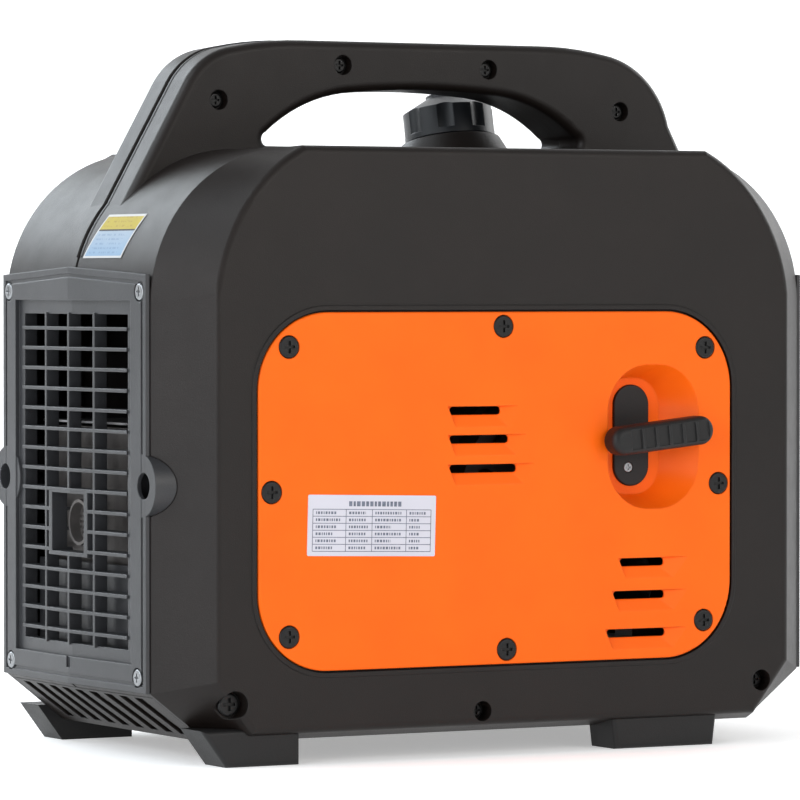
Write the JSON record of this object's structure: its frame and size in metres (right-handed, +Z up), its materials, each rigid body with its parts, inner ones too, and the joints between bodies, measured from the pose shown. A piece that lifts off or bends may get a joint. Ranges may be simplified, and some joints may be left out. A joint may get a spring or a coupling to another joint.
{
  "type": "portable generator",
  "caption": "Closed-case portable inverter generator with carrying handle, recoil starter, side cover, exhaust grille, fuel cap and socket panel.",
  "frame": {"origin": "on the floor under the middle of the case, on the underside of the feet", "axes": "+Z up; X runs along the case and its handle, with the exhaust grille at -X and the socket panel at +X; the recoil starter side faces -Y"},
  "size_m": [0.5, 0.316, 0.4665],
  "materials": {
    "case_plastic": "fine-textured moulded",
    "cover_orange": "satin moulded",
    "rear_cover_plastic": "satin moulded",
    "grille_plastic": "satin moulded",
    "panel_plastic": "satin moulded",
    "black_rubber": "moulded",
    "cap_plastic": "satin moulded",
    "black_screw": "black zinc",
    "bright_screw": "zinc plated",
    "label_white": "printed film",
    "label_yellow": "printed film",
    "rope_fibre": "braided",
    "cast_aluminium": "as cast",
    "steel": "machined",
    "spring_steel": "blued",
    "fan_plastic": "moulded",
    "copper_winding": "varnished",
    "silencer_steel": "heat resistant",
    "tank_steel": "coated",
    "ceramic_boot": "moulded",
    "socket_plastic": "gloss moulded",
    "button_plastic": "gloss moulded",
    "switch_red": "gloss moulded",
    "lamp_lens": "translucent",
    "terminal_brass": "plain"
  },
  "bodies": {
    "casing": {"front_shell": "case_plastic", "rear_shell": "case_plastic", "bottom_pan": "case_plastic", "rubber_feet": "black_rubber", "front_side_cover": "cover_orange", "rear_side_cover": "rear_cover_plastic", "exhaust_end_cover": "grille_plastic", "control_panel": "panel_plastic", "end_screws": "bright_screw", "case_screws": "black_screw", "cover_screws": "black_screw", "rope_guide": "black_rubber", "rope_guide_screw": "bright_screw", "nameplate": "label_white", "shoulder_sticker": "label_yellow", "starter_rope_lead": "rope_fibre", "recoil_spring": "spring_steel", "recoil_housing": "fan_plastic", "stator": "copper_winding", "crankcase": "cast_aluminium", "cylinder": "cast_aluminium", "cylinder_head": "cast_aluminium", "rocker_cover": "cast_aluminium", "spark_plug": "ceramic_boot", "ignition_coil": "copper_winding", "fan_shroud": "fan_plastic", "engine_mounts": "black_rubber", "carburettor": "cast_aluminium", "air_cleaner_case": "fan_plastic", "muffler": "silencer_steel", "exhaust_pipe": "silencer_steel", "exhaust_outlet": "silencer_steel", "heat_shield": "steel", "fuel_tank": "tank_steel", "filler_neck": "tank_steel", "fuel_hose": "black_rubber", "inverter_unit": "cast_aluminium", "ac_sockets": "socket_plastic", "low_voltage_sockets": "socket_plastic", "panel_switchgear": "fan_plastic", "indicator_lamps": "lamp_lens", "eco_rocker_frame": "socket_plastic", "earth_terminal": "terminal_brass", "parallel_sockets": "socket_plastic"},
    "starter_grip": {"starter_grip": "black_rubber", "starter_rope_end": "rope_fibre"},
    "recoil_pulley": {"recoil_pulley": "fan_plastic", "starter_rope_winding": "rope_fibre"},
    "rotor": {"crankshaft": "steel", "flywheel_rotor": "steel", "cooling_fan": "fan_plastic", "starter_cup": "steel"},
    "fuel_cap_insert": {"fuel_cap_insert": "black_rubber"},
    "fuel_cap": {"fuel_cap": "cap_plastic"},
    "fuel_cock_knob": {"fuel_cock_knob": "switch_red"},
    "oil_dipstick": {"oil_dipstick": "fan_plastic"},
    "engine_switch_knob": {"engine_switch_knob": "switch_red"},
    "eco_rocker": {"eco_rocker": "switch_red"},
    "ac_breaker_button": {"ac_breaker_button": "button_plastic"},
    "dc_breaker_button": {"dc_breaker_button": "button_plastic"}
  },
  "joints": [
    {"name": "starter_pull", "type": "slide", "parent": "casing", "child": "starter_grip", "axis": [0, -1, 0], "range_m": [0, 0.6]},
    {"name": "recoil_pulley_spin", "type": "hinge", "parent": "casing", "child": "recoil_pulley", "pos_m": [0.045, -0.1, 0.165], "axis": [0, 1, 0], "range_deg": [0, 742]},
    {"name": "engine_spin", "type": "hinge", "parent": "casing", "child": "rotor", "pos_m": [0.045, 0, 0.165], "axis": [0, 1, 0], "continuous": true},
    {"name": "fuel_cap_lift", "type": "slide", "parent": "casing", "child": "fuel_cap_insert", "axis": [0, 0.2079, 0.9781], "range_m": [0, 0.035]},
    {"name": "fuel_cap_turn", "type": "hinge", "parent": "fuel_cap_insert", "child": "fuel_cap", "pos_m": [0.071, 0.063, 0.404], "axis": [0, 0.2079, 0.9781], "range_deg": [0, 90]},
    {"name": "fuel_cock_turn", "type": "hinge", "parent": "casing", "child": "fuel_cock_knob", "pos_m": [0.02, 0.143, 0.236], "axis": [0, 1, 0], "range_deg": [0, 90]},
    {"name": "oil_dipstick_turn", "type": "hinge", "parent": "casing", "child": "oil_dipstick", "pos_m": [0.075, 0.06, 0.098], "axis": [0, 1, 0], "range_deg": [0, 720]},
    {"name": "engine_switch_turn", "type": "hinge", "parent": "casing", "child": "engine_switch_knob", "pos_m": [0.236, 0.012, 0.218], "axis": [1, 0, 0], "range_deg": [0, 90]},
    {"name": "eco_rocker_tilt", "type": "hinge", "parent": "casing", "child": "eco_rocker", "pos_m": [0.233, 0.062, 0.258], "axis": [0, 1, 0], "range_deg": [-8, 8]},
    {"name": "ac_breaker_press", "type": "slide", "parent": "casing", "child": "ac_breaker_button", "axis": [-1, 0, 0], "range_m": [0, 0.003], "stiffness_N_per_m": 200},
    {"name": "dc_breaker_press", "type": "slide", "parent": "casing", "child": "dc_breaker_button", "axis": [-1, 0, 0], "range_m": [0, 0.003], "stiffness_N_per_m": 200}
  ],
  "couplings": [
    {"joint": "recoil_pulley_spin", "follows": "starter_pull", "rad_per_m": 21.459}
  ]
}
